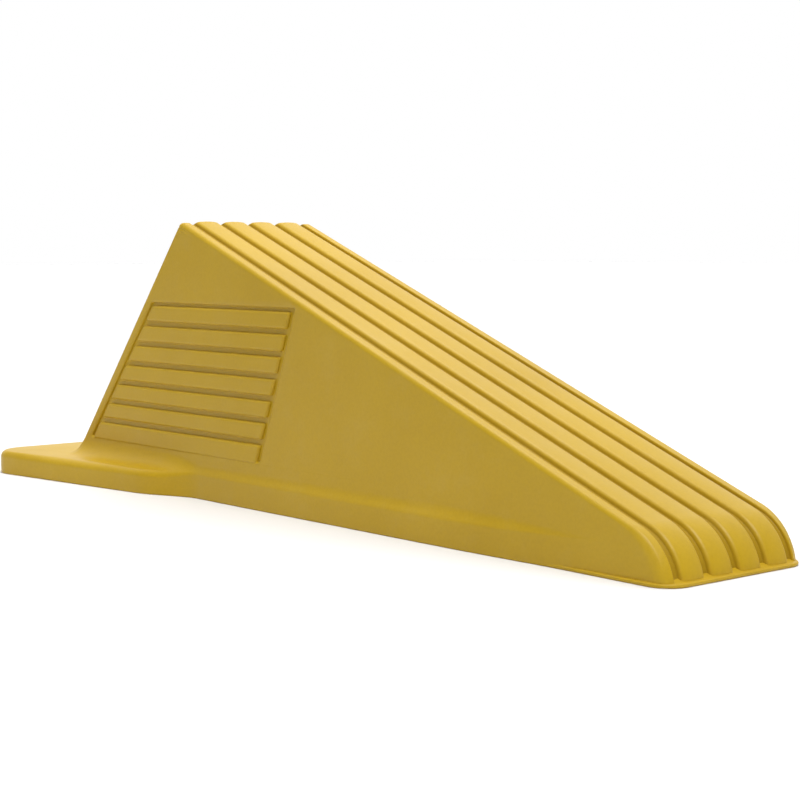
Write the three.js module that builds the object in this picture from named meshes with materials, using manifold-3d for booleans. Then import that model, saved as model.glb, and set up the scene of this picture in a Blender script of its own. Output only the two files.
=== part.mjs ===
// A giant rubber door wedge: a ribbed ramp over a flared foot plate, with a grip panel on each side.
// Millimetres. +X points to the toe, +Y to the left side, +Z up, and the sole lies on z = 0.
import * as THREE from 'three';
import { mergeVertices } from 'three/addons/utils/BufferGeometryUtils.js';
import Module from 'manifold-3d';

const wasm = await Module();
wasm.setup();

// Driving dimensions.
const LENGTH = 174.1; // lip of the toe to the end of the heel tab
const HEIGHT = 50.8; // sole to the crest
const RAMP_ANGLE = THREE.MathUtils.degToRad(21);
const HEEL_RAKE = THREE.MathUtils.degToRad(40); // heel face, from the vertical
const HEEL_FOOT = 160; // toe to where the heel face would meet the floor
const BODY_HALF = 14.9; // half the width between the flat sides
const CREST_RADIUS = 0.8;
const NOSE_LEAN = THREE.MathUtils.degToRad(8); // nose, from the vertical, at the floor
const TOE_CORNER = 2.2; // rounding of the toe corners, seen from above

// Foot plate.
const PLATE_HEIGHT = 4.6;
const PLINTH_TOP = 8; // height where the body starts, at the top of the concave fillet
const HEEL_FLARE = 0.6; // how much of the side fillet's reach the heel's has
const TOE_LIP = 0.6; // how far the plate's lip stands out in front of the ribs
const LIP_HEIGHT = 0.6;
const LIP_HALF = 15.4;
const LIP_CORNER = 4;
const RIM_HALF = 15.7; // half width of the plate behind the toe
const RIM_FULL = 25; // toe to where the plate is that wide
const WAIST_HALF = 15.4; // half width of the plate where its wings start
const WAIST = 112; // toe to the waist
const WING_ROOT_HALF = 20;
const WING_ROOT = 126;
const TAB_HALF = 25.4;
const TAB_CORNER = 6.5;
const SOLE_GROOVE = { first: 14, pitch: 7, count: 20, width: 1.6, depth: 0.8, margin: 3 };

// Ramp ribs and the grooves between them.
const GROOVE_PITCH = 6.15;
const GROOVE_WIDTH = 1.3;
const RIB_HEIGHT = 0.9; // above the floor of the grooves
const BEAD_HEIGHT = 0.55; // the beads along the edges are lower than the ribs
const RIB_COUNT = 4;

// Side grips: lands on a thin backing, let into a pocket in each side.
const POCKET_DEPTH = 0.5;
const BACKING = 0.2;
const LAND_HEIGHT = 0.6;
const LAND_COUNT = 7;
const LAND_PITCH = 3.9;
const LAND_GROOVE = 0.6;
const GRIP_TOP = 35.5;
const GRIP_HEEL_MARGIN = 2.5; // from the heel edge to the pocket, along the length
const GRIP_TOE_END = 83; // toe to the top front corner of the pocket
const GRIP_BORDER = 1; // from the pocket's ends to the ends of the lands
const FIT_GAP = 0.3;

const ARC_STEPS = 10;
const TOE_X = LENGTH / 2 - TOE_LIP; // front of the ribs; the places along the part count from here
const TAB_X = -LENGTH / 2;

const rubber = { roughness: 0.55, metalness: 0 };
const yellow = new THREE.Color(0.86, 0.6, 0.03);

// Lines of the side view.
const halfApex = (Math.PI / 2 - RAMP_ANGLE + HEEL_RAKE) / 2;
const apexTilt = (Math.PI / 2 - HEEL_RAKE - RAMP_ANGLE) / 2;
const apexZ = HEIGHT + CREST_RADIUS * (Math.cos(apexTilt) / Math.sin(halfApex) - 1);
const heelX = (z) => TOE_X - HEEL_FOOT + z * Math.tan(HEEL_RAKE);
const apexX = heelX(apexZ);

// Height of the ramp at x, lowered square to itself by inset.
function rampZ(x, inset) {
  return apexZ - (x - apexX) * Math.tan(RAMP_ANGLE) - inset / Math.cos(RAMP_ANGLE);
}

// The nose is the arc that leaves the floor at the lean and runs smoothly into the ramp.
const NOSE_RADIUS = (rampZ(TOE_X, 0) * Math.cos(RAMP_ANGLE)) / (1 - Math.sin(RAMP_ANGLE + NOSE_LEAN));

function toSolid(geometry) {
  const bare = geometry.clone();
  bare.deleteAttribute('normal');
  bare.deleteAttribute('uv');
  const merged = mergeVertices(bare, 1e-5);
  const mesh = new wasm.Mesh({
    numProp: 3,
    vertProperties: new Float32Array(merged.attributes.position.array),
    triVerts: new Uint32Array(merged.index.array),
  });
  return new wasm.Manifold(mesh);
}

function toGeometry(solid) {
  const mesh = solid.getMesh();
  const geometry = new THREE.BufferGeometry();
  geometry.setAttribute('position', new THREE.BufferAttribute(new Float32Array(mesh.vertProperties), 3));
  geometry.setIndex(new THREE.BufferAttribute(new Uint32Array(mesh.triVerts), 1));
  geometry.computeVertexNormals();
  return geometry;
}

// A side-view outline in x and z, extruded across the part from yLow to yHigh.
function acrossPrism(outline, yLow, yHigh) {
  const geometry = new THREE.ExtrudeGeometry(new THREE.Shape(outline), {
    depth: yHigh - yLow,
    bevelEnabled: false,
  });
  geometry.rotateX(Math.PI / 2);
  geometry.translate(0, yHigh, 0);
  return toSolid(geometry);
}

// A plan outline, extruded upwards from zLow to zHigh.
function uprightPrism(shape, zLow, zHigh) {
  const geometry = new THREE.ExtrudeGeometry(shape, {
    depth: zHigh - zLow,
    bevelEnabled: false,
    curveSegments: ARC_STEPS,
  });
  geometry.translate(0, 0, zLow);
  return toSolid(geometry);
}

function box(xLow, xHigh, yLow, yHigh, zLow, zHigh) {
  const geometry = new THREE.BoxGeometry(xHigh - xLow, yHigh - yLow, zHigh - zLow);
  geometry.translate((xLow + xHigh) / 2, (yLow + yHigh) / 2, (zLow + zHigh) / 2);
  return toSolid(geometry);
}

// Points of an arc from one angle to another.
function arc(centreX, centreZ, radius, from, to) {
  return Array.from({ length: ARC_STEPS + 1 }, (_, step) => {
    const angle = from + ((to - from) * step) / ARC_STEPS;
    return new THREE.Vector2(centreX + radius * Math.cos(angle), centreZ + radius * Math.sin(angle));
  });
}

// The nose, from the floor up to the ramp, lowered square to itself by inset.
function nosePoints(inset) {
  const centreX = TOE_X - NOSE_RADIUS * Math.cos(NOSE_LEAN);
  const centreZ = -NOSE_RADIUS * Math.sin(NOSE_LEAN);
  const radius = NOSE_RADIUS - inset;
  return arc(centreX, centreZ, radius, Math.asin(-centreZ / radius), Math.PI / 2 - RAMP_ANGLE);
}

// Where the ramp, lowered by inset, meets the heel face.
function loweredApex(inset) {
  const drop = inset / Math.cos(RAMP_ANGLE);
  const z = apexZ - drop / (1 + Math.tan(RAMP_ANGLE) * Math.tan(HEEL_RAKE));
  return new THREE.Vector2(heelX(z), z);
}

// The rounded crest, from the ramp lowered by inset over to the heel face. A lower strip is sharper.
function crestPoints(inset) {
  const apex = loweredApex(inset);
  const radius = CREST_RADIUS * (1 - inset / RIB_HEIGHT);
  const reach = radius / Math.sin(halfApex);
  const centreX = apex.x + reach * Math.sin(apexTilt);
  const centreZ = apex.y - reach * Math.cos(apexTilt);
  return arc(centreX, centreZ, radius, Math.PI / 2 - RAMP_ANGLE, Math.PI - HEEL_RAKE);
}

// Half of a plan outline is traced by draw on the +Y side; this mirrors it into a closed shape.
function mirroredPlan(draw) {
  const half = new THREE.Path();
  draw(half);
  const left = half.getPoints(ARC_STEPS);
  const right = left.map((point) => new THREE.Vector2(point.x, -point.y)).reverse();
  return new THREE.Shape([...left, ...right]);
}

// Rounds a toe corner of a plan outline, whose front is at x and whose side is at y.
function toeCorner(path, x, y, radiusX, radiusY) {
  path.moveTo(x, y - radiusY);
  path.absellipse(x - radiusX, y - radiusY, radiusX, radiusY, 0, Math.PI / 2, false);
}

// Plan of the ribs: straight sides and rounded toe corners.
function rampPlan() {
  return mirroredPlan((path) => {
    toeCorner(path, TOE_X, BODY_HALF, TOE_CORNER, TOE_CORNER);
    path.lineTo(TAB_X, BODY_HALF);
  });
}

// Carries an outline on towards the heel in a smooth step, out to a place where it has endSlope.
function smoothStep(path, toX, toHalf, endSlope) {
  const { x, y } = path.currentPoint;
  const reach = (x - toX) / 2;
  path.bezierCurveTo(x - reach, y, toX + reach, toHalf - endSlope * reach, toX, toHalf);
}

// Plan of the foot plate: it swells behind the toe, runs to the waist, and splays to the heel tab.
function platePlan() {
  return mirroredPlan((path) => {
    const splay = (TAB_HALF - WING_ROOT_HALF) / (TOE_X - TAB_X - TAB_CORNER - WING_ROOT);
    toeCorner(path, TOE_X - RIB_HEIGHT, BODY_HALF, TOE_CORNER - RIB_HEIGHT, TOE_CORNER);
    smoothStep(path, TOE_X - RIM_FULL, RIM_HALF, 0);
    path.lineTo(TOE_X - WAIST, WAIST_HALF);
    smoothStep(path, TOE_X - WING_ROOT, WING_ROOT_HALF, splay);
    path.lineTo(TAB_X + TAB_CORNER, TAB_HALF);
    path.absarc(TAB_X + TAB_CORNER, TAB_HALF - TAB_CORNER, TAB_CORNER, Math.PI / 2, Math.PI, false);
  });
}

// Plan of the low lip round the toe, which runs into the plate's sides.
function lipPlan() {
  return mirroredPlan((path) => {
    toeCorner(path, TOE_X + TOE_LIP, LIP_HALF, LIP_CORNER, LIP_CORNER);
    path.lineTo(TOE_X - RIM_FULL, RIM_HALF);
  });
}

// The block under the body, whose sides and heel run out to the plate in a concave fillet.
function plinth() {
  const rise = PLINTH_TOP - PLATE_HEIGHT;
  const geometry = new THREE.BoxGeometry(2, 2, rise, 1, 1, ARC_STEPS);
  const points = geometry.attributes.position;
  for (let i = 0; i < points.count; i++) {
    const turn = (points.getZ(i) / rise + 0.5) * (Math.PI / 2);
    const up = rise * (1 - Math.cos(turn));
    const flare = rise * (1 - Math.sin(turn));
    const back = heelX(PLATE_HEIGHT + up) - flare * HEEL_FLARE;
    const x = points.getX(i) > 0 ? TOE_X : back;
    const y = Math.sign(points.getY(i)) * (BODY_HALF + flare);
    points.setXYZ(i, x, y, PLATE_HEIGHT + up);
  }
  return toSolid(geometry);
}

// Everything behind the nose at groove-floor level, for cutting the toe of the plate.
function behindNose() {
  const outline = [...nosePoints(RIB_HEIGHT)];
  outline.push(new THREE.Vector2(apexX, rampZ(apexX, RIB_HEIGHT)));
  outline.push(new THREE.Vector2(TAB_X - 1, apexZ));
  outline.push(new THREE.Vector2(TAB_X - 1, 0));
  return acrossPrism(outline, -TAB_HALF - 1, TAB_HALF + 1);
}

// Half width of the plate at x, for keeping the sole grooves clear of its edge.
function plateHalfAt(x) {
  const fromToe = TOE_X - x;
  return fromToe < WAIST ? BODY_HALF : WAIST_HALF;
}

function footPlate() {
  const slab = uprightPrism(platePlan(), 0, PLATE_HEIGHT);
  const raised = plinth().intersect(uprightPrism(platePlan(), PLATE_HEIGHT, PLINTH_TOP));
  const lip = uprightPrism(lipPlan(), 0, LIP_HEIGHT);
  let plate = slab.add(raised).intersect(behindNose()).add(lip);
  for (let i = 0; i < SOLE_GROOVE.count; i++) {
    const x = TOE_X - SOLE_GROOVE.first - i * SOLE_GROOVE.pitch;
    const reach = plateHalfAt(x) - SOLE_GROOVE.margin;
    const halfGroove = SOLE_GROOVE.width / 2;
    const cutter = box(x - halfGroove, x + halfGroove, -reach, reach, -1, SOLE_GROOVE.depth);
    plate = plate.subtract(cutter);
  }
  return plate;
}

// Side-view outline of a grip, drawn in from the pocket's edges by margin, between two heights.
function gripOutline(zLow, zHigh, margin) {
  const lean = Math.tan(RAMP_ANGLE);
  const heelEnd = (z) => heelX(z) + GRIP_HEEL_MARGIN + margin;
  const toeEnd = (z) => TOE_X - GRIP_TOE_END - (GRIP_TOP - z) * lean - margin;
  return [
    new THREE.Vector2(heelEnd(zLow), zLow),
    new THREE.Vector2(toeEnd(zLow), zLow),
    new THREE.Vector2(toeEnd(zHigh), zHigh),
    new THREE.Vector2(heelEnd(zHigh), zHigh),
  ];
}

const gripBottom = GRIP_TOP - LAND_COUNT * LAND_PITCH;
const pocketFloor = BODY_HALF - POCKET_DEPTH;

// side is 1 for the left and -1 for the right; from and to are distances from the middle plane.
function sidePrism(outline, side, from, to) {
  return side > 0 ? acrossPrism(outline, from, to) : acrossPrism(outline, -to, -from);
}

function wedgeBody() {
  const rampFootX = apexX + (rampZ(apexX, RIB_HEIGHT) - PLINTH_TOP) / Math.tan(RAMP_ANGLE);
  const outline = [
    new THREE.Vector2(heelX(PLINTH_TOP), PLINTH_TOP),
    new THREE.Vector2(rampFootX, PLINTH_TOP),
    loweredApex(RIB_HEIGHT),
  ];
  let body = acrossPrism(outline, -BODY_HALF, BODY_HALF).intersect(behindNose());
  for (const side of [-1, 1]) {
    const pocket = gripOutline(gripBottom, GRIP_TOP, 0);
    body = body.subtract(sidePrism(pocket, side, pocketFloor, BODY_HALF + 1));
  }
  return body;
}

// A strip of the given height that follows the ramp from the crest over the nose to the toe's lip.
function rampStrip(yLow, yHigh, height) {
  const inset = RIB_HEIGHT - height;
  const outer = [...nosePoints(inset), ...crestPoints(inset)];
  const inner = [loweredApex(RIB_HEIGHT), ...nosePoints(RIB_HEIGHT).reverse()];
  const strip = acrossPrism([...outer, ...inner], yLow, yHigh);
  return strip.intersect(uprightPrism(rampPlan(), LIP_HEIGHT, HEIGHT + 1));
}

function sideGrip(side) {
  const backing = gripOutline(gripBottom + FIT_GAP, GRIP_TOP - FIT_GAP, FIT_GAP);
  let grip = sidePrism(backing, side, pocketFloor, pocketFloor + BACKING);
  for (let i = 0; i < LAND_COUNT; i++) {
    const top = GRIP_TOP - LAND_GROOVE - i * LAND_PITCH;
    const bottom = top + LAND_GROOVE - LAND_PITCH + FIT_GAP;
    const land = gripOutline(bottom, top, GRIP_BORDER);
    grip = grip.add(sidePrism(land, side, pocketFloor, pocketFloor + LAND_HEIGHT));
  }
  return grip;
}

const wedge = new THREE.Group();

function place(name, solid) {
  const material = new THREE.MeshStandardMaterial({ color: yellow, ...rubber });
  const mesh = new THREE.Mesh(toGeometry(solid), material);
  mesh.name = name;
  wedge.add(mesh);
}

place('foot_plate', footPlate());
place('wedge_body', wedgeBody());
for (let i = 0; i < RIB_COUNT; i++) {
  const middle = (i - (RIB_COUNT - 1) / 2) * GROOVE_PITCH;
  const half = (GROOVE_PITCH - GROOVE_WIDTH) / 2;
  place(`ramp_rib_${i + 1}`, rampStrip(middle - half, middle + half, RIB_HEIGHT));
}
const beadInner = (RIB_COUNT / 2) * GROOVE_PITCH + GROOVE_WIDTH / 2;
place('edge_bead_right', rampStrip(-BODY_HALF, -beadInner, BEAD_HEIGHT));
place('edge_bead_left', rampStrip(beadInner, BODY_HALF, BEAD_HEIGHT));
place('side_grip_right', sideGrip(-1));
place('side_grip_left', sideGrip(1));

export default wedge;
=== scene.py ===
"""A giant rubber door wedge: the moulded surfaces and the rubber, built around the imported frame.

Lengths are millimetres until a mesh is made. +X points to the toe, +Y to the left side, +Z up.
"""
import math

import bmesh
import bpy
from mathutils import Matrix, Vector


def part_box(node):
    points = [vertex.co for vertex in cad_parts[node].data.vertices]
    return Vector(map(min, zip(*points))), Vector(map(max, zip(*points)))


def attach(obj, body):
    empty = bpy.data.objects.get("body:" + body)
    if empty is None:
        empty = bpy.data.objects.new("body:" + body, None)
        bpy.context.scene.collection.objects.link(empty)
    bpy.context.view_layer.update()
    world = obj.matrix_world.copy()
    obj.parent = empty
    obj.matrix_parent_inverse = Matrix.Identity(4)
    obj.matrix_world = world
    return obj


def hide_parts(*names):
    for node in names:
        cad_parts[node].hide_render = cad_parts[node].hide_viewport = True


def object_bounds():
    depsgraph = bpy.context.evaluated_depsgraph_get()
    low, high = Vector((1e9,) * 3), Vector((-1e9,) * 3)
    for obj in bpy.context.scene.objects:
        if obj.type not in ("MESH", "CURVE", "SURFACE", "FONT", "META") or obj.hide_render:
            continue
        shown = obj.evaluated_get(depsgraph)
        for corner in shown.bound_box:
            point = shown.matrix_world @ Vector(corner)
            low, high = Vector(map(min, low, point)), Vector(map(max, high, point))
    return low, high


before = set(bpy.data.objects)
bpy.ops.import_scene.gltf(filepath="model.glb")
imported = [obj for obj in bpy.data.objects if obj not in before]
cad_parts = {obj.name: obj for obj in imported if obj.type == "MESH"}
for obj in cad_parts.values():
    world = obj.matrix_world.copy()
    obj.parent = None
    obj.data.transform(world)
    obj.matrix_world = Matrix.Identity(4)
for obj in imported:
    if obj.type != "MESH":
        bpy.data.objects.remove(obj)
cad_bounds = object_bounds()

MM = 0.001


def node_box(node):
    """Lowest and highest corner of a CAD node, in millimetres."""
    low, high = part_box(node)
    return low / MM, high / MM


TOE_LIP = 0.6  # how far the foot plate's lip stands out in front of the ribs

# Places and sizes that the frame gives.
TOE_X = cad_bounds[1].x / MM - TOE_LIP
TAB_X = cad_bounds[0].x / MM
BODY_LOW, BODY_HIGH = node_box("wedge_body")
GRIP_LOW, GRIP_HIGH = node_box("side_grip_left")
BEAD_INNER = node_box("edge_bead_left")[0].y
TAB_HALF = node_box("foot_plate")[1].y
BODY_HALF = BODY_HIGH.y
PLINTH_TOP = BODY_LOW.z

# The wedge's own lines, as in the CAD source.
RAMP_ANGLE = math.radians(21)
HEEL_RAKE = math.radians(40)
NOSE_LEAN = math.radians(8)  # how far the nose leans back where it meets the floor
TOE_CORNER = 2.2
RIB_HEIGHT = 0.9
BEAD_HEIGHT = 0.55
RIB_COUNT = 4
LIP_HEIGHT = 0.6
LIP_HALF = 15.4
LIP_CORNER = 4
PLATE_HEIGHT = 4.6
RIM_HALF = 15.7
RIM_FULL = 25
WAIST_HALF = 15.4
WAIST = 112
WING_ROOT_HALF = 20
WING_ROOT = 126
TAB_CORNER = 6.5
LAND_COUNT = 7
LAND_PITCH = 3.9
LAND_WIDTH = 3
LAND_HEIGHT = 0.6
GRIP_TOP_GAP = 0.6
GRIP_HEEL_MARGIN = 2.5
GRIP_TOE_END = 83
GRIP_BORDER = 1
POCKET_DEPTH = 0.5
FIT_GAP = 0.3  # between the CAD grip and the walls of its pocket
SOLE_GROOVE = {"first": 14, "pitch": 7, "count": 20, "half": 0.8, "depth": 0.8, "margin": 3}

# Moulded edges of the body, the ribs and the beads.
CREST_RADIUS = 1.1
GROOVE_CREST_RADIUS = 0.5
HEEL_CORNER = 0.6
SHOULDER = 0.8  # rounding from a bead's top into the side
SHOULDER_FOOT = -0.6  # where the body's side starts, measured from the groove floor
CHAMFER = 1.2  # strip of the body that is hidden under a bead's shoulder
RIB_ROUND = 0.75
RIB_CROWN = 0.1
BEAD_ROUND = 0.25
ROOT_FILLET = 0.12
ROOT_SAG = 0.3  # where the middle of a root fillet lies, as a share of its size
ROOT_SINK = 0.02  # how far its foot dips under the groove floor
EMBED = 0.25  # how deep a piece reaches into the one under it

# Moulded edges of the foot plate.
TIP = 11.5  # toe to the upright seam where the foot plate starts
RIM_EASE = 45  # toe to where the rounded rim has its full width
SOLE_ROUND = 0.25
SOLE_STRIP = 0.8  # plain height of the edge above the sole's rounding
SIDE_FILLET = 3.4
HEEL_FILLET = 4.0
PLATE_ROUND = 1.5
LEDGE_DROP = 0.6  # share by which the narrow ledge beside the body sinks to the tab's level
LIP_ROUND = 0.25
LIP_TURN = 1.1  # angle that the lip's rounding turns through
LIP_SINK = 0.1  # how far the lip's ends sink into the plate
LIP_UNDERSIDE = ((1.8, 0.03), (0.5, 0.0))  # in from the lip's edge, and up from the floor
LIP_SLOPE = ((0.65, 0.03), (1.0, 0.12), (1.8, 0.5))  # in from the lip's edge, and up from its top
SOLE_GROOVE_WALL = ((0.0, 0.0), (0.08, 0.2), (0.12, SOLE_GROOVE["depth"]))  # inset and depth
SOLE_GROOVE_CORNER = 0.5

# Moulded edges of the grips.
POCKET_ROUND = 0.45
POCKET_FOOT = 0.05  # plain strip between a pocket's rim and the foot plate
POCKET_RELIEF = 0.65  # relief of the pocket's floor, where the side's is 1; it sets the painted shade on the floor and at the lands' roots
LAND_ROUND = 0.54
LAND_CORNER = 0.6

CREST_STEPS = 8
RAMP_STEPS = 24
NOSE_STEPS = 16
ROUND_STEPS = 4
CROWN_STEPS = 8
TOE_CORNER_STEPS = 7
CORNER_COLUMNS = 14
TAB_CORNER_COLUMNS = 8
HEEL_COLUMNS = 8
BEND_MARGIN = 2  # finer columns of the plate start this far outside its two bends
POCKET_RIM_STEPS = 3
LIP_SOLE_STEPS = 3
LIP_TURN_STEPS = 10
SHARP_ANGLE = math.radians(40)
WELD = 1e-7  # metres
NO_REACH = 1e-6

HALF_APEX = (math.pi / 2 - RAMP_ANGLE + HEEL_RAKE) / 2
APEX_TILT = (math.pi / 2 - HEEL_RAKE - RAMP_ANGLE) / 2


# ---------------------------------------------------------------- lines of the wedge

def arc(centre, radius, start, end, steps):
    """Points on a circle from one angle to another, both ends included."""
    angles = [start + (end - start) * step / steps for step in range(steps + 1)]
    return [(centre[0] + radius * math.cos(a), centre[1] + radius * math.sin(a)) for a in angles]


def mix(a, b, share):
    """The point at a share of the way from a to b."""
    return tuple(p + (q - p) * share for p, q in zip(a, b))


def heel_x(z):
    """Where the heel face stands at height z."""
    return BODY_LOW.x + (z - PLINTH_TOP) * math.tan(HEEL_RAKE)


def ramp_z(x, height):
    """Height of the plane that lies height above the floor of the ramp's grooves."""
    from_crest = x - heel_x(BODY_HIGH.z)
    return BODY_HIGH.z - from_crest * math.tan(RAMP_ANGLE) + height / math.cos(RAMP_ANGLE)


# The nose is the arc that leaves the floor at the lean and runs smoothly into the ramp.
NOSE_RADIUS = ramp_z(TOE_X, RIB_HEIGHT) * math.cos(RAMP_ANGLE) / (1 - math.sin(RAMP_ANGLE + NOSE_LEAN))


def quarter_drop(radius, distance):
    """How far a rounded edge has fallen at a distance in from its end, nothing past its radius."""
    if distance >= radius:
        return 0.0
    return radius - math.sqrt(radius**2 - (radius - max(distance, 0.0)) ** 2)


def toe_setback(y):
    """How far the toe lies back at y, round the corner that is seen from above."""
    return quarter_drop(TOE_CORNER, BODY_HALF - abs(y))


def heel_inset(y):
    """How far the heel face lies in at y, round the upright corners of the body."""
    return quarter_drop(HEEL_CORNER, BODY_HALF - abs(y))


def crest_radius(height):
    """Rounding of the crest, which is smaller at the groove floor than on the beads and ribs."""
    share = min(1.0, max(0.0, height / BEAD_HEIGHT))
    return GROOVE_CREST_RADIUS + (CREST_RADIUS - GROOVE_CREST_RADIUS) * share


def ramp_path(y, height, foot_z):
    """Points from the heel face over the crest, down the ramp and round the nose to foot_z."""
    slope = math.tan(RAMP_ANGLE)
    heel_shift = heel_inset(y) / math.cos(HEEL_RAKE)
    apex_z = ramp_z(heel_x(0) + heel_shift, height) / (1 + slope * math.tan(HEEL_RAKE))
    apex_x = heel_x(apex_z) + heel_shift
    radius = crest_radius(height)
    reach = radius / math.sin(HALF_APEX)
    crest = (apex_x + reach * math.sin(APEX_TILT), apex_z - reach * math.cos(APEX_TILT))
    setback = toe_setback(y)
    nose = (TOE_X - setback - NOSE_RADIUS * math.cos(NOSE_LEAN),
            setback * slope - NOSE_RADIUS * math.sin(NOSE_LEAN))
    nose_radius = NOSE_RADIUS - RIB_HEIGHT + height
    ramp_normal = math.pi / 2 - RAMP_ANGLE
    nose_foot = math.asin((foot_z - nose[1]) / nose_radius)

    points = arc(crest, radius, math.pi - HEEL_RAKE, ramp_normal, CREST_STEPS)
    front = arc(nose, nose_radius, ramp_normal, nose_foot, NOSE_STEPS)
    top = points[-1]
    for step in range(1, RAMP_STEPS):
        points.append(mix(top, front[0], step / RAMP_STEPS))
    return points + front


# ---------------------------------------------------------------- mesh helpers

def loft(bm, loops, closed):
    """Faces between neighbouring loops of vertices. A closed loop joins its last point to its first."""
    count = len(loops[0])
    for lower, upper in zip(loops, loops[1:]):
        for i in range(count if closed else count - 1):
            j = (i + 1) % count
            bm.faces.new((lower[i], lower[j], upper[j], upper[i]))


def vertex_loop(bm, relief, points, height):
    """Vertices for points, marked with how far they stand out of the moulding, from 0 to 1; the rubber
    paints shade on low marks.
    """
    made = [bm.verts.new(Vector(p) * MM) for p in points]
    for vertex, share in zip(made, height if isinstance(height, list) else [height] * len(made)):
        vertex[relief] = share
    return made


def fill_between(bm, loops):
    """A flat face inside the first loop of vertices, with the other loops as holes."""
    edges = []
    for loop in loops:
        for a, b in zip(loop, loop[1:] + loop[:1]):
            edges.append(bm.edges.get((a, b)) or bm.edges.new((a, b)))
    bmesh.ops.triangle_fill(bm, use_beauty=True, use_dissolve=False, edges=edges)


def new_mesh():
    """An empty mesh and its layer for the relief of each vertex, which sets the painted shade."""
    bm = bmesh.new()
    return bm, bm.verts.layers.float.new("relief")


def finish_piece(name, bm, material, nodes):
    """Turns the mesh into a piece that stands for CAD nodes and rides on the one body."""
    bmesh.ops.remove_doubles(bm, verts=bm.verts, dist=WELD)
    bmesh.ops.recalc_face_normals(bm, faces=bm.faces)
    for face in bm.faces:
        face.smooth = True
    for edge in bm.edges:
        if len(edge.link_faces) == 2 and edge.calc_face_angle(0) > SHARP_ANGLE:
            edge.smooth = False
    mesh = bpy.data.meshes.new(name)
    bm.to_mesh(mesh)
    bm.free()
    mesh.materials.append(material)
    piece = bpy.data.objects.new(name, mesh)
    bpy.context.scene.collection.objects.link(piece)
    weighted = piece.modifiers.new("flat_faces_stay_flat", "WEIGHTED_NORMAL")
    weighted.keep_sharp = True
    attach(piece, "root")
    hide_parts(*nodes)
    return piece


# ---------------------------------------------------------------- ribs and beads

def rib_section(y_low, y_high):
    """Outline of a rib across the ramp, as places across and heights above the groove floor."""
    left = [
        (y_low - ROOT_FILLET, -ROOT_SINK),
        (y_low - ROOT_FILLET * ROOT_SAG, ROOT_FILLET * ROOT_SAG),
        (y_low, ROOT_FILLET),
    ]
    left += arc((y_low + RIB_ROUND, RIB_HEIGHT - RIB_CROWN - RIB_ROUND), RIB_ROUND, math.pi,
                math.pi / 2, ROUND_STEPS)
    middle, half = (y_low + y_high) / 2, (y_high - y_low) / 2 - RIB_ROUND
    right = [(2 * middle - y, height) for y, height in reversed(left)]
    top = []
    for step in range(1, CROWN_STEPS):
        across = 2 * step / CROWN_STEPS - 1
        top.append((middle + across * half, RIB_HEIGHT - RIB_CROWN * across**2))
    return left + top + right + [(y_high, -EMBED), (y_low, -EMBED)]


def bead_section(side):
    """Outline of an edge bead: its low rounded top, and a shoulder that turns down into the side."""
    centre_y = BODY_HALF - SHOULDER
    section = [
        (BEAD_INNER - ROOT_FILLET, -ROOT_SINK),
        (BEAD_INNER - ROOT_FILLET * ROOT_SAG, ROOT_FILLET * ROOT_SAG),
    ]
    section += arc((BEAD_INNER + BEAD_ROUND, BEAD_HEIGHT - BEAD_ROUND), BEAD_ROUND, math.pi,
                   math.pi / 2, ROUND_STEPS)
    section += arc((centre_y, BEAD_HEIGHT - SHOULDER), SHOULDER, math.pi / 2, 0, 2 * ROUND_STEPS)
    section += [(BODY_HALF, SHOULDER_FOOT), (BEAD_INNER, -EMBED)]
    return [(side * y, height) for y, height in section]


def ramp_strip(name, section, top, material, node):
    """A rib or bead: its section swept from the heel face over the crest and down to the toe's lip."""
    bm, relief = new_mesh()
    rows = []
    for y, height in section:
        points = [(x, y, z) for x, z in ramp_path(y, height, LIP_HEIGHT - EMBED)]
        on_shoulder = abs(y) > BODY_HALF - SHOULDER
        # painted shade: sides darken towards the groove floor; the shoulder stays at full relief
        share = 1.0 if on_shoulder else min(1.0, max(0.0, height / top))
        rows.append(vertex_loop(bm, relief, points, share))
    loft(bm, rows + rows[:1], closed=False)
    bm.faces.new([row[0] for row in rows])
    bm.faces.new([row[-1] for row in rows])
    return finish_piece(name, bm, material, [node])


# ---------------------------------------------------------------- body

def side_levels():
    """Distances in from the side that share the rounding of the heel's corners, side first."""
    turns = [math.pi / 2 * k / CORNER_COLUMNS for k in range(CORNER_COLUMNS + 1)]
    return [HEEL_CORNER * (1 - math.cos(turn)) for turn in turns]


def core_levels():
    """Places across the body, from the right side to the left, each with its height over the ramp."""
    inward = side_levels() + [CHAMFER]
    levels = [(BODY_HALF - a, SHOULDER_FOOT * (1 - a / CHAMFER)) for a in inward]
    for step in range(1, TOE_CORNER_STEPS + 1):
        levels.append((BODY_HALF - CHAMFER - (TOE_CORNER - CHAMFER) * step / TOE_CORNER_STEPS, 0.0))
    levels.append(((BODY_HALF - TOE_CORNER) / 2, 0.0))
    right = [(-y, height) for y, height in levels]
    return right + [(0.0, 0.0)] + list(reversed(levels))


def grip_outline(z_low, z_high, margin):
    """Side-view corners of a grip area, drawn in from the ends of its pocket by margin."""
    top = GRIP_HIGH.z + FIT_GAP
    lean = math.tan(RAMP_ANGLE)

    def heel_end(z):
        return heel_x(z) + GRIP_HEEL_MARGIN + margin

    def toe_end(z):
        return TOE_X - GRIP_TOE_END - (top - z) * lean - margin

    return [(heel_end(z_low), z_low), (toe_end(z_low), z_low), (toe_end(z_high), z_high),
            (heel_end(z_high), z_high)]


def rounded_corners(corners, radius):
    """The outline with each corner replaced by a small curve."""
    points = []
    for before, corner, after in zip(corners[-1:] + corners[:-1], corners, corners[1:] + corners[:1]):
        start = mix(corner, before, radius / math.dist(corner, before))
        end = mix(corner, after, radius / math.dist(corner, after))
        for step in range(ROUND_STEPS + 1):
            share = step / ROUND_STEPS
            points.append(mix(mix(start, corner, share), mix(corner, end, share), share))
    return points


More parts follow.
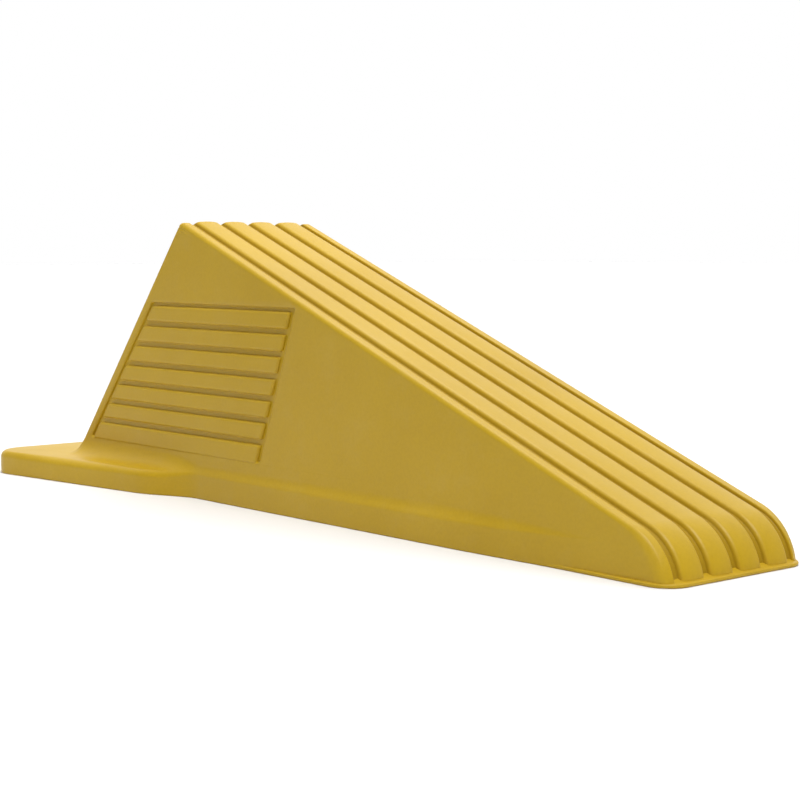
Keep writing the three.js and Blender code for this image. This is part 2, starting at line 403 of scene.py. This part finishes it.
def pocket_loops(bm, relief, side):
    """Loops of a grip pocket from its rounded rim down the wall to its floor."""
    low = max(GRIP_LOW.z - FIT_GAP, PLINTH_TOP + POCKET_ROUND + POCKET_FOOT)
    high = GRIP_HIGH.z + FIT_GAP
    depths = [POCKET_ROUND * step / POCKET_RIM_STEPS for step in range(POCKET_RIM_STEPS + 1)]
    levels = [(quarter_drop(POCKET_ROUND, depth), depth) for depth in depths] + [(0.0, POCKET_DEPTH)]
    loops = []
    for spread, depth in levels:
        outline = grip_outline(low - spread, high + spread, -spread)
        outline = rounded_corners(outline, LAND_CORNER + spread)
        points = [(x, side * (BODY_HALF - depth), z) for x, z in outline]
        # painted shade: the wall darkens with depth down to the floor's relief
        loops.append(vertex_loop(bm, relief, points, 1 - (1 - POCKET_RELIEF) * depth / POCKET_DEPTH))
    return loops


def wedge_body(material):
    """The core, up to the floor of the ramp's grooves, with a grip pocket in each side."""
    bm, relief = new_mesh()
    seam_x = TOE_X - TIP
    rows = []
    for y, height in core_levels():
        path = ramp_path(y, height, 0)
        heel_foot = heel_x(PLINTH_TOP) + heel_inset(y) / math.cos(HEEL_RAKE)
        outline = path + [(seam_x, 0), (seam_x, PLINTH_TOP), (heel_foot, PLINTH_TOP)]
        on_side = BODY_HALF - abs(y) < CHAMFER / 2
        # painted shade: the ramp's groove floor is marked 0 and made darkest; sides and heel stay at 1
        marks = [1.0 if on_side or i == 0 or i >= len(path) else 0.0 for i in range(len(outline))]
        rows.append(vertex_loop(bm, relief, [(x, y, z) for x, z in outline], marks))
    loft(bm, rows, closed=True)
    for side, row in ((-1, rows[0]), (1, rows[-1])):
        loops = pocket_loops(bm, relief, side)
        loft(bm, loops, closed=True)
        bm.faces.new(loops[-1])
        fill_between(bm, [row, loops[0]])
    return finish_piece("wedge_body_skin", bm, material, ["wedge_body"])


def side_grip(name, side, material, node):
    """Rounded lands with their roots in the pocket's floor. The lowest runs down past the pocket."""
    bm, relief = new_mesh()
    floor_y = BODY_HALF - POCKET_DEPTH
    top = GRIP_HIGH.z + FIT_GAP - GRIP_TOP_GAP
    for i in range(LAND_COUNT):
        high = top - i * LAND_PITCH
        low = high - LAND_WIDTH - (2 * FIT_GAP if i == LAND_COUNT - 1 else 0)
        levels = [(0.0, -EMBED), (0.0, LAND_HEIGHT - LAND_ROUND)]
        levels += arc((LAND_ROUND, LAND_HEIGHT - LAND_ROUND), LAND_ROUND, math.pi, math.pi / 2,
                      ROUND_STEPS)[1:]
        loops = []
        for inset, height in levels:
            outline = grip_outline(low + inset, high - inset, GRIP_BORDER + inset)
            outline = rounded_corners(outline, LAND_CORNER - inset)
            points = [(x, side * (floor_y + height), z) for x, z in outline]
            # painted shade: a land's sides darken towards its root in the pocket's floor
            loops.append(vertex_loop(bm, relief, points, max(POCKET_RELIEF, height / LAND_HEIGHT)))
        loft(bm, loops, closed=True)
        bm.faces.new(loops[0])
        bm.faces.new(loops[-1])
    return finish_piece(name, bm, material, [node])


# ---------------------------------------------------------------- foot plate

def ease(share):
    """Smooth step from 0 to 1."""
    return share * share * (3 - 2 * share)


def plate_half(x):
    """Half width of the foot plate at x, up to the rounding of the tab's corners."""
    from_toe = TOE_X - x
    wing_end = TOE_X - TAB_X - TAB_CORNER
    splay = (TAB_HALF - WING_ROOT_HALF) / (wing_end - WING_ROOT)
    if from_toe <= TIP:
        return BODY_HALF
    if from_toe < WAIST:
        rim = RIM_HALF + (WAIST_HALF - RIM_HALF) * (from_toe - RIM_FULL) / (WAIST - RIM_FULL)
        return BODY_HALF + (rim - BODY_HALF) * ease(min(1.0, (from_toe - TIP) / (RIM_EASE - TIP)))
    if from_toe < WING_ROOT:
        length = WING_ROOT - WAIST
        share = (from_toe - WAIST) / length
        end_slope = share * share * (share - 1) * splay * length
        return WAIST_HALF + (WING_ROOT_HALF - WAIST_HALF) * ease(share) + end_slope
    return WING_ROOT_HALF + splay * (from_toe - WING_ROOT)


def plate_columns():
    """From the toe seam to the middle of the heel on the left: inner and outer places, wall slope."""
    corner_x = heel_x(PLINTH_TOP) + HEEL_CORNER / math.cos(HEEL_RAKE)
    bend_start, bend_end = WAIST - BEND_MARGIN, WING_ROOT + BEND_MARGIN
    stretches = [(TIP, RIM_FULL, 8), (RIM_FULL, bend_start, 12), (bend_start, bend_end, 20),
                 (bend_end, TOE_X - corner_x, 8)]
    columns = []
    for start, end, count in stretches:
        for step in range(count):
            x = TOE_X - start - (end - start) * step / count
            columns.append(((x, BODY_HALF), (x, plate_half(x)), math.pi / 2))

    wing_columns = CORNER_COLUMNS - TAB_CORNER_COLUMNS
    tab_corner = (TAB_X + TAB_CORNER, TAB_HALF - TAB_CORNER)
    tab_arc = arc(tab_corner, TAB_CORNER, math.pi / 2, math.pi, TAB_CORNER_COLUMNS)
    for k in range(CORNER_COLUMNS + 1):
        turn = math.pi / 2 * k / CORNER_COLUMNS
        y = BODY_HALF - HEEL_CORNER * (1 - math.cos(turn))
        x = heel_x(PLINTH_TOP) + HEEL_CORNER * (1 - math.sin(turn)) / math.cos(HEEL_RAKE)
        flat = math.hypot(math.cos(turn), math.sin(turn) * math.cos(HEEL_RAKE))
        slope = math.pi / 2 - math.atan2(math.sin(turn) * math.sin(HEEL_RAKE), flat)
        if k < wing_columns:
            outer_x = corner_x + (tab_corner[0] - corner_x) * k / wing_columns
            outer = (outer_x, plate_half(outer_x))
        else:
            outer = tab_arc[k - wing_columns]
        columns.append(((x, y), outer, slope))

    for step in range(1, HEEL_COLUMNS + 1):
        share = 1 - step / HEEL_COLUMNS
        inner = (heel_x(PLINTH_TOP), (BODY_HALF - HEEL_CORNER) * share)
        outer = (TAB_X, tab_corner[1] * share)
        columns.append((inner, outer, math.pi / 2 - HEEL_RAKE))
    return columns


def plate_profile(reach, slope):
    """Distances out from the body and heights: wall, concave fillet, flat, rounded edge, sole edge."""
    heel_share = (math.pi / 2 - slope) / HEEL_RAKE
    fillet = SIDE_FILLET + (HEEL_FILLET - SIDE_FILLET) * heel_share
    upright = math.isclose(slope, math.pi / 2, abs_tol=0.01)
    if upright and reach < fillet + PLATE_ROUND:
        heading = math.asin(1 - reach / (fillet + PLATE_ROUND))
        wall_drop = LEDGE_DROP * (fillet + PLATE_ROUND) * (1 - math.cos(heading))
    else:
        heading = 0.0
        wall_drop = PLINTH_TOP - PLATE_HEIGHT - fillet * (1 - math.cos(slope))
    points = [(0.0, PLINTH_TOP)]
    start = (wall_drop / math.tan(slope), PLINTH_TOP - wall_drop)
    fillet_steps, flat_steps, edge_steps = 10, 4, 8
    for step in range(fillet_steps + 1):
        turn = slope + (heading - slope) * step / fillet_steps
        out = start[0] + fillet * (math.sin(slope) - math.sin(turn))
        points.append((out, start[1] - fillet * (math.cos(turn) - math.cos(slope))))
    ledge = points[-1]
    edge_out = reach - PLATE_ROUND * (1 - math.sin(heading))
    for step in range(1, flat_steps):
        points.append((ledge[0] + (edge_out - ledge[0]) * step / flat_steps, ledge[1]))
    for step in range(edge_steps + 1):
        turn = heading + (math.pi / 2 - heading) * step / edge_steps
        out = edge_out + PLATE_ROUND * (math.sin(turn) - math.sin(heading))
        points.append((out, ledge[1] - PLATE_ROUND * (math.cos(heading) - math.cos(turn))))
    points.append((reach, SOLE_ROUND + SOLE_STRIP))
    points += arc((reach - SOLE_ROUND, SOLE_ROUND), SOLE_ROUND, 0, -math.pi / 2, ROUND_STEPS)
    return points


def foot_plate(material):
    """The plate, swept round from the toe seam on one side past the heel to the seam on the other."""
    bm, relief = new_mesh()
    left = []
    for inner, outer, slope in plate_columns():
        reach = math.dist(inner, outer)
        points = []
        for out, z in plate_profile(reach, slope):
            if reach > NO_REACH:
                x, y = mix(inner, outer, out / reach)
            else:
                x, y = inner[0], inner[1] + out
            points.append((x, y, z))
        left.append(points)
    right = [[(x, -y, z) for x, y, z in points] for points in reversed(left[:-1])]
    rows = [vertex_loop(bm, relief, points, 1.0) for points in left + right]
    loft(bm, rows, closed=False)
    bm.faces.new(rows[0] + list(reversed(rows[-1])))
    fill_between(bm, [[row[0] for row in rows]])
    fill_between(bm, [[row[-1] for row in rows]] + sole_grooves(bm, relief))
    toe_lip(bm, relief)
    return finish_piece("foot_plate_skin", bm, material, ["foot_plate"])


def toe_lip(bm, relief):
    """The low lip round the toe, which sinks into the sides of the plate."""
    front = TOE_X + TOE_LIP
    corner = (front - LIP_CORNER, LIP_HALF - LIP_CORNER)
    start_x = TOE_X - RIM_FULL
    stations = [((start_x, plate_half(start_x) - LIP_SINK), (0.0, 1.0))]
    for step in range(LIP_TURN_STEPS + 1):
        turn = math.pi / 2 * (1 - step / LIP_TURN_STEPS)
        out = (math.cos(turn), math.sin(turn))
        stations.append(((corner[0] + LIP_CORNER * out[0], corner[1] + LIP_CORNER * out[1]), out))
    stations += [((x, -y), (out_x, -out_y)) for (x, y), (out_x, out_y) in reversed(stations)]
    section = list(LIP_UNDERSIDE)
    for x, z in arc((0, 0), SOLE_ROUND, -math.pi / 2, 0, LIP_SOLE_STEPS):
        section.append((SOLE_ROUND - x, SOLE_ROUND + z))
    for x, z in arc((0, 0), LIP_ROUND, 0, LIP_TURN, ROUND_STEPS):
        section.append((LIP_ROUND - x, LIP_HEIGHT - LIP_ROUND + z))
    section += [(inward, LIP_HEIGHT + rise) for inward, rise in LIP_SLOPE]
    rows = []
    for (x, y), (out_x, out_y) in stations:
        points = [(x - out_x * inward, y - out_y * inward, z) for inward, z in section]
        rows.append(vertex_loop(bm, relief, points, 1.0))
    loft(bm, rows, closed=True)
    bm.faces.new(rows[0])
    bm.faces.new(rows[-1])


def sole_grooves(bm, relief):
    """Cuts the slots of the sole and returns their rims."""
    rims = []
    for i in range(SOLE_GROOVE["count"]):
        x = TOE_X - SOLE_GROOVE["first"] - i * SOLE_GROOVE["pitch"]
        half = BODY_HALF if TOE_X - x < WAIST else WAIST_HALF
        reach = half - SOLE_GROOVE["margin"]
        loops = []
        for inset, z in SOLE_GROOVE_WALL:
            edge, end = SOLE_GROOVE["half"] - inset, reach - inset
            corners = [(x - edge, -end), (x + edge, -end), (x + edge, end), (x - edge, end)]
            points = [(px, py, z) for px, py in rounded_corners(corners, SOLE_GROOVE_CORNER)]
            # painted shade: the slot darkens with depth
            loops.append(vertex_loop(bm, relief, points, 1 - z / SOLE_GROOVE["depth"]))
        loft(bm, loops, closed=True)
        bm.faces.new(loops[-1])
        rims.append(loops[0])
    return rims


# ---------------------------------------------------------------- rubber

PIGMENT_DEEP = (0.485, 0.305, 0.008, 1)
PIGMENT_PALE = (0.525, 0.335, 0.012, 1)
# painted shade: the colour that multiplies the rubber where it stands least out of the moulding
RECESS_PAINTED_SHADE = (0.72, 0.69, 0.6, 1)
DUST_COLOUR = (0.62, 0.50, 0.26, 1)


def add_node(tree, kind, inputs=None, **settings):
    """A shader node with its settings, and with its inputs linked or set."""
    made = tree.nodes.new(kind)
    for key, value in settings.items():
        setattr(made, key, value)
    for socket, value in (inputs or {}).items():
        if isinstance(value, bpy.types.NodeSocket):
            tree.links.new(value, made.inputs[socket])
        else:
            made.inputs[socket].default_value = value
    return made


def ramp_node(tree, factor, stops):
    """A colour ramp through the stops, each a place and a colour."""
    made = add_node(tree, "ShaderNodeValToRGB", {"Fac": factor})
    elements = made.color_ramp.elements
    for element, (place, colour) in zip(elements, (stops[0], stops[-1])):
        element.position = place
        element.color = colour
    for place, colour in stops[1:-1]:
        elements.new(place).color = colour
    return made.outputs["Color"]


def noise_node(tree, place, size_mm, detail, roughness=0.5):
    """Noise whose largest features are about size_mm across."""
    inputs = {"Vector": place, "Scale": 1 / (size_mm * MM), "Detail": detail, "Roughness": roughness}
    return add_node(tree, "ShaderNodeTexNoise", inputs).outputs["Fac"]


def grey(value):
    return (value, value, value, 1)


def yellow_rubber():
    """Slightly uneven satin rubber, with painted shade that darkens its recesses, and a trace of pale dust.
    """
    material = bpy.data.materials.new("yellow_rubber")
    material.use_nodes = True
    tree = material.node_tree
    tree.nodes.clear()
    place = add_node(tree, "ShaderNodeTexCoord").outputs["Object"]
    relief = add_node(tree, "ShaderNodeAttribute", attribute_name="relief").outputs["Fac"]

    clouds = noise_node(tree, place, 28, 3)
    pigment = ramp_node(tree, clouds, [(0.3, PIGMENT_DEEP), (0.7, PIGMENT_PALE)])
    specks = noise_node(tree, place, 0.5, 2)
    speck_tone = ramp_node(tree, specks, [(0.32, grey(0.97)), (0.62, grey(1.015))])
    speckled = add_node(tree, "ShaderNodeMixRGB", {"Fac": 1.0, "Color1": pigment, "Color2": speck_tone},
                        blend_type="MULTIPLY").outputs["Color"]
    # Painted shade: the lower a place's relief, the darker the rubber is made there.
    painted_recess_shade = ramp_node(tree, relief, [(0.0, RECESS_PAINTED_SHADE), (0.7, grey(1.0))])
    with_painted_shade = add_node(tree, "ShaderNodeMixRGB", {"Fac": 1.0, "Color1": speckled, "Color2": painted_recess_shade},
                        blend_type="MULTIPLY").outputs["Color"]
    dust = noise_node(tree, place, 6, 5, 0.7)
    dust_mask = ramp_node(tree, dust, [(0.5, grey(0.0)), (0.8, grey(0.06))])
    dusty = add_node(tree, "ShaderNodeMixRGB", {"Fac": dust_mask, "Color1": with_painted_shade,
                                                "Color2": DUST_COLOUR}).outputs["Color"]

    sheen_patches = noise_node(tree, place, 16, 4, 0.6)
    roughness = ramp_node(tree, sheen_patches, [(0.3, grey(0.38)), (0.7, grey(0.48))])

    swell = noise_node(tree, place, 34, 1)
    swell_bump = add_node(tree, "ShaderNodeBump", {"Height": swell, "Strength": 0.35,
                                                   "Distance": 0.9 * MM}).outputs["Normal"]
    skin = noise_node(tree, place, 1.8, 4, 0.6)
    skin_bump = add_node(tree, "ShaderNodeBump", {"Height": skin, "Strength": 0.25, "Distance": 0.06 * MM,
                                                  "Normal": swell_bump}).outputs["Normal"]
    grain = noise_node(tree, place, 0.35, 2)
    grain_bump = add_node(tree, "ShaderNodeBump", {"Height": grain, "Strength": 0.3,
                                                   "Distance": 0.02 * MM,
                                                   "Normal": skin_bump}).outputs["Normal"]
    shader = add_node(tree, "ShaderNodeBsdfPrincipled", {
        "Base Color": dusty,
        "Roughness": roughness,
        "Normal": grain_bump,
        "Metallic": 0.0,
        "IOR": 1.5,
        "Specular IOR Level": 0.3,
    })
    output = add_node(tree, "ShaderNodeOutputMaterial")
    tree.links.new(shader.outputs["BSDF"], output.inputs["Surface"])
    return material


# ---------------------------------------------------------------- studio

FLOOR_HALF = 4.0  # metres
FLOOR_GREY = 0.82
TOWARDS_BACKDROP = (-0.62, 0.55, 0.56)  # where the world's fill light is brightest
TOWARDS_OVERHEAD = (0.36, -0.21, 0.91)
CREST_LAMP_PLACE = (-0.03, 0.04, 0.2)  # metres


def studio_floor():
    """A wide pale floor, which takes the part's shadow."""
    mesh = bpy.data.meshes.new("studio_floor")
    corners = [(-FLOOR_HALF, -FLOOR_HALF, 0), (FLOOR_HALF, -FLOOR_HALF, 0),
               (FLOOR_HALF, FLOOR_HALF, 0), (-FLOOR_HALF, FLOOR_HALF, 0)]
    mesh.from_pydata(corners, [], [(0, 1, 2, 3)])
    material = bpy.data.materials.new("pale_floor")
    material.use_nodes = True
    surface = material.node_tree.nodes["Principled BSDF"]
    surface.inputs["Base Color"].default_value = grey(FLOOR_GREY)
    surface.inputs["Roughness"].default_value = 0.9
    surface.inputs["Specular IOR Level"].default_value = 0.1
    mesh.materials.append(material)
    floor = bpy.data.objects.new("studio_floor", mesh)
    bpy.context.scene.collection.objects.link(floor)


def add_lamp(lamp):
    """An object for the lamp, in the scene."""
    holder = bpy.data.objects.new(lamp.name, lamp)
    bpy.context.scene.collection.objects.link(holder)
    return holder


def studio_light():
    """A world that is plain white to the camera but brighter on one side as a light, and two lamps."""
    world = bpy.data.worlds.new("studio")
    bpy.context.scene.world = world
    world.use_nodes = True
    tree = world.node_tree
    tree.nodes.clear()
    seen = add_node(tree, "ShaderNodeBackground", {"Color": grey(1.0), "Strength": 1.0})
    direction = add_node(tree, "ShaderNodeTexCoord").outputs["Generated"]
    towards_backdrop = add_node(tree, "ShaderNodeVectorMath", {0: direction, 1: TOWARDS_BACKDROP},
                                operation="DOT_PRODUCT").outputs["Value"]
    backdrop = ramp_node(tree, towards_backdrop, [(0.1, grey(0.2)), (0.7, grey(0.85)), (1.0, grey(1.6))])
    fill = add_node(tree, "ShaderNodeBackground", {"Color": backdrop, "Strength": 0.85})
    path = add_node(tree, "ShaderNodeLightPath")
    both = add_node(tree, "ShaderNodeMixShader", {0: path.outputs["Is Camera Ray"]})
    tree.links.new(fill.outputs["Background"], both.inputs[1])
    tree.links.new(seen.outputs["Background"], both.inputs[2])
    output = add_node(tree, "ShaderNodeOutputWorld")
    tree.links.new(both.outputs["Shader"], output.inputs["Surface"])

    crest = bpy.data.lights.new("crest_softbox", "AREA")
    crest.size = 0.12
    crest.energy = 0.155
    crest_lamp = add_lamp(crest)
    crest_lamp.location = CREST_LAMP_PLACE
    crest_lamp.visible_camera = False

    overhead = bpy.data.lights.new("overhead_softbox", "SUN")
    overhead.energy = 2.5
    overhead.angle = math.radians(35)
    overhead_lamp = add_lamp(overhead)
    overhead_lamp.rotation_mode = "QUATERNION"
    overhead_lamp.rotation_quaternion = Vector(TOWARDS_OVERHEAD).to_track_quat("Z", "Y")


def photo_camera():
    """Three-quarter view of the toe and the right side, just above the crest's height."""
    azimuth, fall = math.radians(49.67), math.radians(5.01)
    right = Vector((math.cos(azimuth), math.sin(azimuth), 0))
    back = Vector((math.sin(azimuth) * math.cos(fall), -math.cos(azimuth) * math.cos(fall), math.sin(fall)))
    up = back.cross(right)
    lens = bpy.data.cameras.new("camera")
    lens.sensor_width = 36
    lens.lens = 78.27
    lens.clip_start = 0.01
    camera = bpy.data.objects.new("camera", lens)
    turn = Matrix((right, up, back)).transposed()
    camera.rotation_mode = "QUATERNION"
    camera.rotation_quaternion = turn.to_quaternion()
    camera.location = Vector((238.35, -190.95, 45.73)) * MM
    bpy.context.scene.collection.objects.link(camera)
    bpy.context.scene.camera = camera


# ---------------------------------------------------------------- build

rubber = yellow_rubber()
foot_plate(rubber)
wedge_body(rubber)
for number in range(1, RIB_COUNT + 1):
    rib = f"ramp_rib_{number}"
    rib_low, rib_high = node_box(rib)
    ramp_strip(rib + "_skin", rib_section(rib_low.y, rib_high.y), RIB_HEIGHT, rubber, rib)
for hand, side in (("right", -1), ("left", 1)):
    bead = "edge_bead_" + hand
    ramp_strip(bead + "_skin", bead_section(side), BEAD_HEIGHT, rubber, bead)
    side_grip(f"side_grip_{hand}_skin", side, rubber, "side_grip_" + hand)
studio_floor()
studio_light()
photo_camera()
bpy.context.scene.view_settings.view_transform = "Standard"
